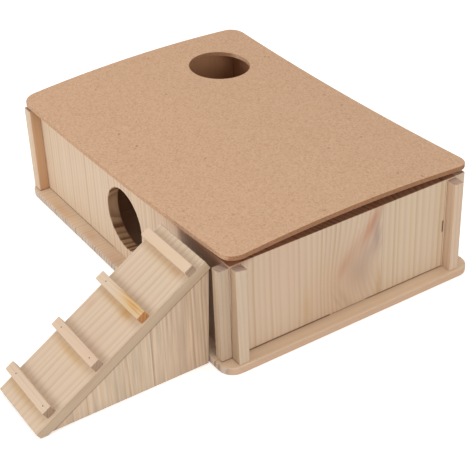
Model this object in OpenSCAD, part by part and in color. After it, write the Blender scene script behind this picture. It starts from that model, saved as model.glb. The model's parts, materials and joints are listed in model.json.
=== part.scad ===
// Wooden hamster house: a pine cabin on a base board, a loose cork lid and a loose ramp.
// Millimetres. +Z is up, +X is right and -Y is the front, where the entry hole is.
// The origin is under the middle of the cabin, on the base board's underside.

/* [Cabin] */
// Length of the cabin over its walls, left to right
cabin_l = 295; // [240:1:380]
// Width of the cabin over its walls, front to back
cabin_w = 200; // [160:1:260]
// Height of the walls above the base board
wall_h = 77.5; // [70:0.5:120]
// Thickness of the walls
wall_t = 9; // [6:0.5:12]

/* [Base board] */
// Thickness of the base board
base_t = 6; // [4:0.5:12]
// How far the base board stands out past the walls
base_margin = 12; // [10:0.5:25]
// How far it stands out past the left wall, where it was cut shorter
base_left_margin = 9; // [9:0.5:25]
// Radius of the base board's corners
base_corner_r = 12; // [3:0.5:25]
// Radius of its corner at the front left
base_far_corner_r = 15; // [3:0.5:25]

/* [Corner battens] */
// Width of a batten, measured along its wall
batten_w = 8; // [5:0.5:14]
// How far the front wall's left batten stands out past the cabin's end
far_batten_out = 2.5; // [0:0.5:6]
// How far a batten stands out from its wall
batten_d = 9; // [5:0.5:9.5]
// How much lower than the walls the battens stop
batten_drop = 1.3; // [0:0.1:8]
// Radius that eases the long edges of a batten
batten_edge_r = 0.8; // [0.2:0.1:1.5]

/* [Near batten, at the right wall's front edge] */
// Width of the near batten, measured along its wall
near_batten_w = 8.6; // [5:0.1:14]
// How far its foot stands out from its wall
near_batten_foot_d = 10; // [8:0.1:10]
// How far its top stands out from its wall
near_batten_top_d = 8.7; // [7:0.1:10]
// How much is planed off its outer front edge at the top
near_batten_planed = 2.5; // [0.1:0.1:4]
// How far its foot stands in front of the front wall's face
near_batten_foot_out = 0.8; // [0:0.1:1.5]
// How far its top stands behind that face
near_batten_top_in = 0.8; // [0:0.1:1.5]

/* [Entry hole] */
// Diameter of the entry hole in the front wall
entry_d = 52.5; // [30:0.5:58]
// Distance of the entry hole to the left of the front wall's middle
entry_left = 1.5; // [-25:0.5:25]
// Height of the entry hole's middle above the base board
entry_z = 38; // [34:0.5:40]

/* [Cork lid] */
// Length of the lid, left to right
lid_l = 306; // [295:1:400]
// Width of the lid, front to back
lid_w = 217; // [200:1:280]
// Thickness of the cork
lid_t = 4; // [2:0.25:8]
// Radius of the lid's corners
lid_corner_r = 12; // [3:0.5:25]
// Rise of the lid's middle over its front and back edges
lid_arch = 4.8; // [1:0.1:8]
// Rise of the lid's left and right ends over its middle
lid_dip = 4; // [1:0.1:8]
// Turn of the warp against the lid's own edges, in degrees
warp_turn = -4.5; // [-10:0.5:10]
// How far the lid lies turned on the cabin, in degrees
lid_turn = 1.3; // [-2:0.1:2]
// How far the lid lies to the left of the cabin's middle
lid_left = 2.3; // [-4:0.1:4]
// How far the lid lies behind the cabin's middle
lid_behind = 2.5; // [-4:0.1:4]
// Gap at the spots where the lid lies on the walls
lid_gap = 0.2; // [0.1:0.05:0.5]
// Diameter of the hole in the lid
roof_hole_d = 52; // [30:0.5:60]
// Distance of the lid's hole to the left of the lid's middle
roof_hole_left = 96.5; // [60:0.5:100]
// Distance of the lid's hole behind the lid's middle
roof_hole_behind = 52.5; // [20:0.5:60]

/* [Ramp] */
// Length of the ramp board along its slope
ramp_l = 158.5; // [130:0.5:175]
// Width of the ramp board
ramp_w = 58; // [44:1:90]
// Thickness of the ramp board
ramp_t = 8.5; // [5:0.5:12]
// Slope of the ramp board, in degrees
ramp_slope = 31.7; // [25:0.1:36]
// Distance of the ramp's middle from the cabin's right end
ramp_in = 38.5; // [38:0.5:90]
// Gap between the ramp and the base board's edge
ramp_gap = 0.8; // [0.8:0.1:5]
// How far the ramp board stands out behind the feet of its side panels
ramp_overhang = 4.6; // [1:0.1:6]
// Distance of the side panels' top corners from the board's top end
panel_top_in = 0.4; // [0:0.1:1]
// Height that is cut off under the board's low end so that it stands flat
ramp_foot_cut = 2.5; // [1:0.1:4]
// Thickness of the ramp's two side panels
panel_t = 9; // [6:0.5:12]
// How far the side panels stand in from the board's edges
panel_inset = 2; // [0:0.5:6]
// Height of the side panels' blunt tips
panel_tip_h = 1.5; // [1:0.1:3]

/* [Cleats] */
// Width of a cleat along the slope
cleat_w = 7.5; // [5:0.5:10]
// Height of a cleat above the ramp board
cleat_h = 6.3; // [4:0.1:9]
// Distance of the first cleat from the ramp board's top end
cleat_first = 8; // [4:0.5:20]
// Distance of the last cleat from the ramp board's low end
cleat_last = 12.6; // [10:0.1:24]
// How far the first cleat, at the top, sits to the left of the ramp board's middle
cleat_shift_1 = -0.5; // [-4:0.1:4]
// How far the second cleat sits to the left
cleat_shift_2 = 1.6; // [-4:0.1:4]
// How far the third cleat sits to the left
cleat_shift_3 = 1.2; // [-4:0.1:4]
// How far the last cleat sits to the left
cleat_shift_4 = 3; // [-4:0.1:4]
// Radius that eases the long edges of a cleat
cleat_edge_r = 0.6; // [0.2:0.1:1.2]

/* [Brads] */
// Diameter of the wire brads
brad_d = 1.2; // [0.8:0.1:1.8]
// How deep a ramp brad goes into the side panel under the board
ramp_brad_bite = 5.2; // [3:0.1:5.5]
// Distance of the ramp's brads from the middle of a side panel, inwards
ramp_brad_in = 2; // [0:0.1:2]
// How deep a base or corner brad goes into the wall it holds
brad_bite = 11; // [6:0.5:14]
// Brads under each long wall
long_wall_brads = 4; // [2:2:6]
// Distance of the corner brads from a wall's top and bottom edges
corner_brad_edge = 18; // [10:0.5:25]

/* [Hidden] */

left = -1;
right = 1;
front = -1;
back = 1;
through = 1; // how far a cutter runs past the faces that it cuts
slice_t = 0.05; // thickness of the end slices that the near batten is stretched between

half_l = cabin_l / 2;
half_w = cabin_w / 2;
wall_top = base_t + wall_h;
batten_h = wall_h - batten_drop;

// The lid is a saddle: an arc of arch_r across, swept along an arc of dip_r.
arch_r = (pow(lid_w / 2, 2) + pow(lid_arch, 2)) / (2 * lid_arch);
dip_r = (pow(lid_l / 2, 2) + pow(lid_dip, 2)) / (2 * lid_dip);
saddle_r = arch_r + dip_r; // from the sweep's axis to the arc's middle
lid_reach = norm([lid_l, lid_w]) / 2; // from the lid's middle to its corners

// Height of the sheet's underside over its own middle, at a point on its own axes
function sheet_underside(p) = dip_r - sqrt(
    pow(saddle_r - sqrt(pow(arch_r - lid_t / 2, 2) - pow(p.y, 2)), 2) - pow(p.x, 2));
// A point turned about the origin by an angle
function turned(p, a) = [p.x * cos(a) - p.y * sin(a), p.x * sin(a) + p.y * cos(a)];
// The same underside, at a point on the cabin's axes
function lid_underside(p) =
    sheet_underside(turned([p.x + lid_left, p.y - lid_behind], -lid_turn - warp_turn));
// Points along the inner and outer top edges of the four walls
wall_rim = [
    for (side = [-1, 1], inset = [0, wall_t], i = [-1:0.05:1])
        each [[side * (half_l - inset), i * half_w], [i * half_l, side * (half_w - inset)]]
];
// The lid is set down until the lowest spot of its underside is over the rim by lid_gap
lid_z = wall_top + lid_gap - min([for (p = wall_rim) lid_underside(p)]);

// The ramp stands on the ground, its side panels' back edges next to the base board
ramp_right = half_l - ramp_in;
ramp_y = -(half_w + base_margin + ramp_gap);
board_back_z = ramp_l * sin(ramp_slope) - ramp_foot_cut;
panel_back_lean = ramp_overhang - panel_top_in;
panel_back_h = board_back_z - panel_top_in * tan(ramp_slope);
panel_tip_y = ramp_overhang - (board_back_z - panel_tip_h) / tan(ramp_slope);
cleat_shifts = [cleat_shift_1, cleat_shift_2, cleat_shift_3, cleat_shift_4];
cleat_pitch = (ramp_l - cleat_first - cleat_last - cleat_w) / (len(cleat_shifts) - 1);
ramp_brad_x = ramp_w / 2 - panel_inset - panel_t / 2 - ramp_brad_in;
ramp_room = 2 * ramp_l; // larger than the ramp, for the block that trims its foot

brad_tip_l = 1.5 * brad_d;
ramp_brad_l = cleat_h + ramp_t + ramp_brad_bite;
base_brad_l = base_t + brad_bite;
corner_brad_l = wall_t + brad_bite;

pine = [0.87, 0.77, 0.64];
pine_dark = [0.80, 0.68, 0.53];
cork = [0.81, 0.64, 0.51];
steel = [0.55, 0.55, 0.56];

// ---- shapes that repeat ----

// A rectangle with round corners, about the origin
module rounded_rect(l, w, r) {
    square([l - 2 * r, w], center = true);
    square([l, w - 2 * r], center = true);
    for (x = [-1, 1], y = [-1, 1])
        translate([x * (l / 2 - r), y * (w / 2 - r)]) circle(r = r, $fn = 64);
}

// A rectangle from one corner to the other, with a radius for each corner, from the front left round
module board_outline(low, high, radii) {
    corners = [low, [high.x, low.y], high, [low.x, high.y]];
    inward = [[1, 1], [-1, 1], [-1, -1], [1, -1]];
    polygon([
        for (i = [0:3])
            let (
                x_cut = corners[i] + [radii[i] * inward[i].x, 0],
                y_cut = corners[i] + [0, radii[i] * inward[i].y]
            )
                each i % 2 == 0 ? [y_cut, x_cut] : [x_cut, y_cut]
    ]);
    for (i = [0:3])
        translate(corners[i] + radii[i] * inward[i]) circle(r = radii[i], $fn = 64);
}

// A pointed wire brad of length l, its flat end at the origin and its tip along +Z
module brad(l) {
    cylinder(d = brad_d, h = l - brad_tip_l, $fn = 24);
    translate([0, 0, l - brad_tip_l]) cylinder(d1 = brad_d, d2 = 0, h = brad_tip_l, $fn = 24);
}

// ---- brads and the holes that they make ----

// Up through the base board, into the bottom edges of the walls
module base_brad_set() {
    pitch = cabin_l / long_wall_brads;
    for (y = [front, back], i = [0:long_wall_brads - 1])
        translate([-half_l + pitch * (i + 0.5), y * (half_w - wall_t / 2), 0])
            brad(base_brad_l);
    for (x = [left, right], y = [front, back])
        translate([x * (half_l - wall_t / 2), y * half_w / 2, 0])
            brad(base_brad_l);
}

// Through the ends of the long walls into the short walls, under the battens
module corner_brad_set() {
    for (x = [left, right], y = [front, back], z = [corner_brad_edge, wall_h - corner_brad_edge])
        translate([x * (half_l - wall_t / 2), y * half_w, base_t + z])
            rotate([y * 90, 0, 0]) brad(corner_brad_l);
}

// ---- base board and walls ----

module base_board() {
    color(pine_dark) difference() {
        linear_extrude(base_t)
            board_outline([-half_l - base_left_margin, -half_w - base_margin],
                [half_l + base_margin, half_w + base_margin],
                [base_far_corner_r, base_corner_r, base_corner_r, base_corner_r]);
        base_brad_set();
    }
}

// A wall along the front or the back, over the full length of the cabin
module long_wall(y) {
    difference() {
        translate([-half_l, y == front ? -half_w : half_w - wall_t, base_t])
            cube([cabin_l, wall_t, wall_h]);
        base_brad_set();
        corner_brad_set();
    }
}

// A wall at the left or the right end, between the long walls
module short_wall(x) {
    difference() {
        translate([x == left ? -half_l : half_l - wall_t, -half_w + wall_t, base_t])
            cube([wall_t, cabin_w - 2 * wall_t, wall_h]);
        base_brad_set();
        corner_brad_set();
    }
}

module front_wall() {
    color(pine) difference() {
        long_wall(front);
        translate([-entry_left, -half_w - through, base_t + entry_z])
            rotate([-90, 0, 0]) cylinder(d = entry_d, h = wall_t + 2 * through, $fn = 128);
    }
}

module back_wall() {
    color(pine) long_wall(back);
}

module left_wall() {
    color(pine) short_wall(left);
}

module right_wall() {
    color(pine) short_wall(right);
}

// ---- corner battens ----

// A batten that stands on the base board, its size l along X and w along Y
module batten(l, w, h) {
    color(pine) linear_extrude(h) rounded_rect(l, w, batten_edge_r);
}

// On the outer face of a long wall, out past the cabin's end by out
module long_wall_batten(x, y, h = batten_h, out = 0) {
    translate([x * (half_l + (out - batten_w) / 2), y * (half_w + batten_d / 2), base_t])
        batten(batten_w + out, batten_d, h);
}

// On the outer face of a short wall, flush with the cabin's front or back
module short_wall_batten(x, y) {
    translate([x * (half_l + batten_d / 2), y * (half_w - batten_w / 2), base_t])
        batten(batten_d, batten_w, batten_h);
}

// A thin slice of the near batten, its front edge at y = 0 and the wall's face at x = 0
module near_batten_slice(front_d, back_d) {
    r = batten_edge_r;
    linear_extrude(slice_t) hull()
        for (p = [[r, r], [front_d - r, r], [back_d - r, near_batten_w - r], [r, near_batten_w - r]])
            translate(p) circle(r = r, $fn = 32);
}

// This one is wider than the others
module front_wall_batten_left() {
    long_wall_batten(left, front, out = far_batten_out);
}

module front_wall_batten_right() {
    long_wall_batten(right, front);
}

module back_wall_batten_left() {
    long_wall_batten(left, back);
}

// This one reaches as high as the wall
module back_wall_batten_right() {
    long_wall_batten(right, back, wall_h);
}

module left_wall_batten_front() {
    short_wall_batten(left, front);
}

module left_wall_batten_back() {
    short_wall_batten(left, back);
}

// The near batten leans back, and its outer front edge is planed off more and more to the top
module right_wall_batten_front() {
    color(pine) translate([half_l, -half_w, base_t]) hull() {
        translate([0, -near_batten_foot_out, 0])
            near_batten_slice(near_batten_foot_d, near_batten_foot_d);
        translate([0, near_batten_top_in, batten_h - slice_t])
            near_batten_slice(near_batten_top_d - near_batten_planed, near_batten_top_d);
    }
}

module right_wall_batten_back() {
    short_wall_batten(right, back);
}

// ---- cork lid ----

// A sheet of cork in the shape of a saddle, wider than the lid
module saddle_sheet() {
    half_angle = asin(lid_reach / dip_r) + 0.5;
    translate([0, 0, dip_r]) rotate([0, 90, 90])
        rotate_extrude(angle = 2 * half_angle, start = -half_angle, $fn = 5000)
            intersection() {
                translate([saddle_r, 0]) difference() {
                    circle(r = arch_r + lid_t / 2, $fn = 2000);
                    circle(r = arch_r - lid_t / 2, $fn = 2000);
                }
                translate([dip_r - lid_reach / 2, -1.1 * lid_reach])
                    square([lid_reach, 2.2 * lid_reach]);
            }
}

module cork_lid() {
    color(cork) translate([-lid_left, lid_behind, lid_z]) rotate(lid_turn) difference() {
        intersection() {
            rotate(warp_turn) saddle_sheet();
            linear_extrude(lid_reach, center = true) rounded_rect(lid_l, lid_w, lid_corner_r);
        }
        translate([-roof_hole_left, roof_hole_behind, 0])
            cylinder(d = roof_hole_d, h = lid_reach, center = true, $fn = 128);
    }
}

// ---- ramp ----

// Sets a child on the underside of the ramp board: X across, -Y down the slope, +Z out of it.
// The origin is at the middle of the board's top end.
module on_slope() {
    translate([ramp_right, ramp_y + ramp_overhang, board_back_z])
        rotate([ramp_slope, 0, 0]) children();
}

// Distance of a cleat's middle from the board's top end
function cleat_s(i) = cleat_first + cleat_w / 2 + i * cleat_pitch;

// Two brads through each cleat and the board, into the side panels
module ramp_brad_set() {
    on_slope()
        for (i = [0:len(cleat_shifts) - 1], x = [left, right])
            translate([x * ramp_brad_x, -cleat_s(i), ramp_t + cleat_h])
                rotate([180, 0, 0]) brad(ramp_brad_l);
}

module ramp_board() {
    color(pine) difference() {
        on_slope() translate([-ramp_w / 2, -ramp_l, 0]) cube([ramp_w, ramp_l, ramp_t]);
        translate([ramp_right - ramp_room / 2, ramp_y - ramp_room, -ramp_room])
            cube([ramp_room, 2 * ramp_room, ramp_room]);
        ramp_brad_set();
    }
}

// A side panel whose outer face is x from the ramp's middle
module ramp_panel(x) {
    color(pine) difference() {
        translate([ramp_right + x, ramp_y, 0]) rotate([90, 0, 90]) linear_extrude(panel_t)
            polygon([[0, 0], [panel_back_lean, panel_back_h], [panel_tip_y, panel_tip_h], [panel_tip_y, 0]]);
        ramp_brad_set();
    }
}

module ramp_panel_left() {
    ramp_panel(-ramp_w / 2 + panel_inset);
}

module ramp_panel_right() {
    ramp_panel(ramp_w / 2 - panel_inset - panel_t);
}

// Cleat i, counted from 0 at the top
module ramp_cleat(i) {
    color(pine) difference() {
        on_slope() translate([-ramp_w / 2 - cleat_shifts[i], -cleat_s(i), ramp_t + cleat_h / 2])
            rotate([90, 0, 90]) linear_extrude(ramp_w) rounded_rect(cleat_w, cleat_h, cleat_edge_r);
        ramp_brad_set();
    }
}

module ramp_cleat_1() {
    ramp_cleat(0);
}

module ramp_cleat_2() {
    ramp_cleat(1);
}

module ramp_cleat_3() {
    ramp_cleat(2);
}

module ramp_cleat_4() {
    ramp_cleat(3);
}

// ---- brads ----

module ramp_brads() {
    color(steel) ramp_brad_set();
}

module base_brads() {
    color(steel) base_brad_set();
}

module corner_brads() {
    color(steel) corner_brad_set();
}

base_board();
front_wall();
back_wall();
left_wall();
right_wall();
front_wall_batten_left();
front_wall_batten_right();
back_wall_batten_left();
back_wall_batten_right();
left_wall_batten_front();
left_wall_batten_back();
right_wall_batten_front();
right_wall_batten_back();
cork_lid();
ramp_board();
ramp_panel_left();
ramp_panel_right();
ramp_cleat_1();
ramp_cleat_2();
ramp_cleat_3();
ramp_cleat_4();
ramp_brads();
base_brads();
corner_brads();
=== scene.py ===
# %% [markdown]
# # A wooden hamster house
#
# A small cabin of glued pine boards on a base board, with pine strips at its corners, a loose cork lid and
# a loose ramp with cleats. The CAD frame gives every piece its place and size, and this file gives it its
# real surface: eased edges, grain, cork and nails.
# %% Load the frame
import json
import math

import bpy
import numpy as np
from mathutils import Matrix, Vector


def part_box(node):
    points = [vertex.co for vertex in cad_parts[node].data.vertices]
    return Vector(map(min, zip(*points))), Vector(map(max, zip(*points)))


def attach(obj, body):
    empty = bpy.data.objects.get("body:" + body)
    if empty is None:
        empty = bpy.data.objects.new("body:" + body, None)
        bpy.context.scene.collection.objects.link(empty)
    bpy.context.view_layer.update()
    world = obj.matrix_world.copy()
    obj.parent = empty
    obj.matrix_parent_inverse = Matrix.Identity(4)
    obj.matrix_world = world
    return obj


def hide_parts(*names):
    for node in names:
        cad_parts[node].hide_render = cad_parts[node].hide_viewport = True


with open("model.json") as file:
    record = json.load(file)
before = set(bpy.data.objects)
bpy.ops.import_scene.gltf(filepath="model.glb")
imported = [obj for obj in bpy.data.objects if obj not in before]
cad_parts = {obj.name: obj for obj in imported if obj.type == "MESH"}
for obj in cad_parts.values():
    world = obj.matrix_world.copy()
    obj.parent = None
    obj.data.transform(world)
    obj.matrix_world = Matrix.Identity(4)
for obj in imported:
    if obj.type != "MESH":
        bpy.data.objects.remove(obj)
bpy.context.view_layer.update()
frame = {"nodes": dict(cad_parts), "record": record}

# %% [markdown]
# ## Sizes
#
# Blender works in metres and a carpenter in millimetres, so sizes are written as a number times MM. What
# the frame can tell is read from it, such as the two corners of a node's box.
# %% Sizes from the frame
MM = 0.001


def corners_of(node):
    """The lowest and the highest corner of a node's box, as arrays."""
    low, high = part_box(node)
    return np.array(low), np.array(high)


front_lo, front_hi = corners_of("front_wall")
print("cabin, mm:", np.round((front_hi[0] - front_lo[0]) / MM), "long")

# %% [markdown]
# ## From a grid of points to a closed mesh
#
# Every board here is one surface on a grid: rings of points, from the middle of one face, out over the
# edge and back to the middle of the other face. Each grid cell is a quad. A board without a hole ends in
# two poles, like a globe. A board with a hole has none: its last ring joins the first, like a tyre.
# %% Closed grids
def closed_grid(rings, tyre=False):
    """The points and faces of a closed surface, from rings, an array of ring by point by coordinate.

    The quad of ring i and point j has the corners (i, j), (i, j+1), (i+1, j+1) and (i+1, j), where the
    point after the last is the first. Without tyre, the mean of each end ring closes it as a pole.
    """
    count, around, _ = rings.shape
    i, j = np.meshgrid(np.arange(count if tyre else count - 1), np.arange(around), indexing="ij")
    i_next, j_next = (i + 1) % count, (j + 1) % around
    quads = np.stack([i * around + j, i * around + j_next, i_next * around + j_next,
                      i_next * around + j], axis=-1).reshape(-1, 4)
    points, faces = rings.reshape(-1, 3), quads.tolist()
    if not tyre:
        j = np.arange(around)
        j_next = (j + 1) % around
        first, last = np.full(around, len(points)), np.full(around, len(points) + 1)
        top = (count - 1) * around
        faces += np.stack([j_next, j, first], axis=-1).tolist()
        faces += np.stack([top + j, top + j_next, last], axis=-1).tolist()
        points = np.vstack([points, rings[0].mean(axis=0), rings[-1].mean(axis=0)])
    return points, faces

# %% [markdown]
# ## From numbers to an object
#
# `from_pydata` takes points and faces as they are. The object stays at the origin, unturned, and its place
# is in its mesh. Every face is shaded smoothly, so flat faces look flat only while their edges are held.
# %% New pieces
def new_piece(name, points, faces):
    """An object from an array of points and a list of faces, shaded smoothly."""
    mesh = bpy.data.meshes.new(name)
    mesh.from_pydata(points.tolist(), [], faces)
    mesh.polygons.foreach_set("use_smooth", np.ones(len(faces), bool))
    mesh.update()
    piece = bpy.data.objects.new(name, mesh)
    bpy.context.scene.collection.objects.link(piece)
    return piece


def closed_mesh(name, rings, tyre=False):
    """An object whose surface is one closed grid."""
    return new_piece(name, *closed_grid(rings, tyre))


def finish_piece(piece, body, slot, *nodes):
    """Makes a piece ride on its body and stand for its CAD nodes, which it hides. slot is not used."""
    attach(piece, body)
    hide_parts(*nodes)
    return piece

# %% [markdown]
# ## Outlines
#
# A board's outline is a polygon whose corners are rounded by arcs. The outward normal is kept with each
# point, because easing an edge means stepping inwards along it.
# %% Outlines with round corners
SMALL_RADIUS = 2 * MM
SMALL_ARC, LARGE_ARC = 5, 9


def outline(corners, radii, step=None):
    """The points and outward normals of a polygon, given counterclockwise, with round corners.

    An arc's centre is corner - r (n1 + n2) / (1 + n1 . n2), with n1 and n2 the normals of the edges that
    meet there, and its points are centre + r (cos a, sin a). Straight stretches get a point every step.
    """
    corners = np.asarray(corners, float)
    radii = np.broadcast_to(radii, len(corners))
    edges = corners - np.roll(corners, 1, axis=0)
    headings = np.arctan2(edges[:, 1], edges[:, 0])
    points, normals = [], []
    for corner, radius, h1, h2 in zip(corners, radii, headings, np.roll(headings, -1)):
        turn = (h2 - h1 + math.pi) % (2 * math.pi) - math.pi
        n1, n2 = (np.array([math.sin(h), -math.cos(h)]) for h in (h1, h2))
        centre = corner - radius * (n1 + n2) / (1 + n1 @ n2)
        count = LARGE_ARC if radius > SMALL_RADIUS else SMALL_ARC
        angles = h1 - math.pi / 2 + turn * np.linspace(0, 1, count)
        arc = np.stack([np.cos(angles), np.sin(angles)], axis=-1)
        points.append(centre + radius * arc)
        normals.append(arc)
    if step:
        for k in range(len(corners)):
            start, end = points[2 * k][-1], points[(2 * k + 1) % len(points)][0]
            share = np.linspace(0, 1, max(2, int(np.linalg.norm(end - start) / step)))[1:-1, None]
            points.insert(2 * k + 1, start + share * (end - start))
            normals.insert(2 * k + 1, np.repeat(normals[2 * k][-1:], len(share), axis=0))
    return np.vstack(points), np.vstack(normals)

# %% [markdown]
# ## Eased edges
#
# A sanded board has no sharp edge: its arris is a tiny quarter circle, which catches the light. One thin
# row beside it keeps the smooth shading of the edge from bleeding over the flat face.
# %% Eased edges
HOLD = 0.05 * MM
ARRIS_STEPS = 4


def least_corner(ease):
    """The smallest corner radius that is still round after stepping in by the ease and the hold."""
    return ease + 2 * HOLD


def edge_rows(thickness, ease):
    """How far each row of an edge lies in from the side, and its height, from the bottom to the top.

    The quarter circles follow inset = e (1 - sin a) and height = e (1 - cos a), a from 0 to 90 degrees.
    """
    a = np.linspace(0, math.pi / 2, ARRIS_STEPS + 1)
    inset = np.r_[ease + HOLD, ease * (1 - np.sin(a)), 0]
    height = np.r_[0, ease * (1 - np.cos(a)), ease + HOLD]
    return np.r_[inset, inset[::-1]], np.r_[height, thickness - height[::-1]]


print("rows over a 9 mm edge, mm:", np.round(edge_rows(9 * MM, 0.5 * MM)[1] / MM, 2))

# %% [markdown]
# ## Boards and holes
#
# A board is its outline, stepped in by each row's inset and lifted to its height. A hole is the same edge
# turned inwards. A face that has to bend, as on a warped sheet, gets rings between its edge and the hole.
# %% Rings of a board
def lifted(flat, heights):
    """Rings in three coordinates, from rings in two and the height of each ring."""
    return np.concatenate([flat, np.broadcast_to(heights[:, None, None], (*flat.shape[:2], 1))], axis=2)


def slab_rings(points, normals, thickness, ease):
    """Rings of a board: point - inset * normal, at each row's height."""
    insets, heights = edge_rows(thickness, ease)
    return lifted(points[None] - insets[:, None, None] * normals[None], heights)


def holed_rings(points, normals, centre, radius, thickness, ease, face_steps=1):
    """Rings of a board with a round hole, from the outer edge over the top, down the hole and back.

    A hole point is centre + (r + inset) * d, where d is the direction from the hole's centre to the
    outline's point. On the faces, rings between hole and edge are their weighted means.
    """
    insets, heights = edge_rows(thickness, ease)
    away = points - centre
    away /= np.linalg.norm(away, axis=1, keepdims=True)
    outer = points[None] - insets[:, None, None] * normals[None]
    inner = (centre + (radius + insets[::-1, None, None]) * away[None])
    share = np.linspace(0, 1, face_steps + 1)[1:-1, None, None]
    top = (1 - share) * outer[-1] + share * inner[0]
    bottom = (1 - share) * inner[-1] + share * outer[0]
    flat = np.concatenate([outer, top, inner, bottom])
    return lifted(flat, np.r_[heights, np.full(len(top), thickness), heights[::-1], np.zeros(len(bottom))])

# %% [markdown]
# ## Standing a board up
#
# Rings are worked out lying down, with the thickness along Z. A wall stands, so its coordinates change
# places: the thickness runs along X or Y. The order of the axes is kept, so the faces still point outwards.
# %% Boards that fill a node's box
THROUGH = {"x": [1, 2, 0], "y": [2, 0, 1], "z": [0, 1, 2]}


def stand_up(rings, through, start):
    """Turns rings so that their thickness runs along a row axis, from start."""
    turned = np.empty_like(rings)
    turned[..., THROUGH[through]] = rings
    turned[..., THROUGH[through][2]] += start
    return turned


def box_outline(low, high, through, radius, step=None):
    """The outline of a box as seen along one axis."""
    u, v, _ = THROUGH[through]
    return outline([[low[u], low[v]], [high[u], low[v]], [high[u], high[v]], [low[u], high[v]]],
                   radius, step)


def board(name, node, through, its_outline, ease, body, slot):
    """A board with a given outline, as thick as its node's box along one axis."""
    low, high = (corner[THROUGH[through][2]] for corner in corners_of(node))
    rings = slab_rings(*its_outline, high - low, ease)
    return finish_piece(closed_mesh(name, stand_up(rings, through, low)), body, slot, node)


def plain_board(name, node, through, corner, ease, body, slot):
    """A board that fills a node's box, with round corners seen along one axis."""
    return board(name, node, through, box_outline(*corners_of(node), through, corner), ease, body, slot)

# %% [markdown]
# ## Base board
#
# The base is one thin board with corners rounded on a bobbin sander, the front left one a little more than
# the others. Its grain runs from the front to the back, so the long edges show end grain.
# %% Base board
BASE_CORNERS = np.array([15, 12, 12, 12]) * MM
BASE_EASE = 0.7 * MM
base = plain_board("base", "base_board", "z", BASE_CORNERS, BASE_EASE, "house", "pine_base")
print("base board:", len(base.data.polygons), "faces")

# %% [markdown]
# ## Walls
#
# Three walls are plain boards. The front wall's rings run from its outer edge to the round entry hole, so
# the hole's rim is eased like every other edge.
# %% Walls
WALL_EASE = 0.5 * MM
ENTRY_RADIUS = 26.25 * MM
ENTRY_AT = {m["name"]: np.array(m["pos_m"]) for m in frame["record"]["mounts"]}["entry_hole"]

walls = {}
for side, through in {"back": "y", "left": "x", "right": "x"}.items():
    walls[side] = plain_board(f"{side}_wall_boards", f"{side}_wall", through, least_corner(WALL_EASE),
                              WALL_EASE, "house", "pine_wall")

edge_points, edge_normals = box_outline(front_lo, front_hi, "y", least_corner(WALL_EASE), step=4 * MM)
entry_centre = ENTRY_AT[THROUGH["y"][:2]]
rings = holed_rings(edge_points, edge_normals, entry_centre, ENTRY_RADIUS,
                    front_hi[1] - front_lo[1], WALL_EASE)
walls["front"] = finish_piece(
    closed_mesh("front_wall_boards", stand_up(rings, "y", front_lo[1]), tyre=True),
    "house", "pine_wall", "front_wall")
print("walls:", {side: len(wall.data.polygons) for side, wall in walls.items()})

# %% [markdown]
# ## Corner strips
#
# Two strips stand at each corner, one on each wall, cut a little short of the walls. Seven of them are
# straight bars, and a loop makes them from their boxes in the frame.
# %% Straight corner strips
STRIP_EDGE = 0.8 * MM
STRIP_EASE = 0.4 * MM
NEAR_STRIP = "right_wall_batten_front"
strips = {}
for node in frame["nodes"]:
    if "_wall_batten_" in node and node != NEAR_STRIP:
        strips[node] = plain_board(node.replace("_wall_batten", "_strip"), node, "z", STRIP_EDGE,
                                   STRIP_EASE, "house", "pine_batten")
print("straight strips:", len(strips))

# %% [markdown]
# ## The near strip
#
# The strip at the near corner was cut by eye. It leans back, and its outer front edge is planed off more
# and more towards the top. That is a ruled surface: straight lines run from each point of the foot's
# outline to the same point of the top's outline.
# %% Near strip, ruled between its foot and its top
NEAR_WIDTH = 8.6 * MM
NEAR_TOP_DEPTH, NEAR_PLANED = 8.7 * MM, 2.5 * MM
NEAR_ROWS = 16
near_lo, near_hi = corners_of(NEAR_STRIP)


def strip_outline(wall_x, front_y, front_depth, back_depth):
    """The outline of the near strip at one height, from the wall's face outwards."""
    back_y = front_y + NEAR_WIDTH
    return outline([[wall_x, front_y], [wall_x + front_depth, front_y], [wall_x + back_depth, back_y],
                    [wall_x, back_y]], STRIP_EDGE)


def ruled_rings(foot, top, thickness, ease, rows):
    """Rings of a ruled bar: (1 - t) foot + t top, with t the height over the thickness."""
    insets, heights = edge_rows(thickness, ease)
    half = len(insets) // 2
    between = np.linspace(heights[half - 1], heights[half], rows + 2)[1:-1]
    insets = np.r_[insets[:half], np.zeros(rows), insets[half:]]
    heights = np.r_[heights[:half], between, heights[half:]]
    t = (heights / thickness)[:, None, None]
    points, normals = [(1 - t) * a + t * b for a, b in zip(foot, top)]
    return lifted(points - insets[:, None, None] * normals, heights)


near_depth = near_hi[0] - near_lo[0]
foot = strip_outline(near_lo[0], near_lo[1], near_depth, near_depth)
top = strip_outline(near_lo[0], near_hi[1] - NEAR_WIDTH, NEAR_TOP_DEPTH - NEAR_PLANED, NEAR_TOP_DEPTH)
rings = ruled_rings(foot, top, near_hi[2] - near_lo[2], STRIP_EASE, NEAR_ROWS)
strips[NEAR_STRIP] = finish_piece(closed_mesh("right_strip_front", stand_up(rings, "z", near_lo[2])),
                                  "house", "pine_batten", NEAR_STRIP)
print("near strip leans back, mm:", round((near_hi[1] - NEAR_WIDTH - near_lo[1]) / MM, 2))

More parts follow.
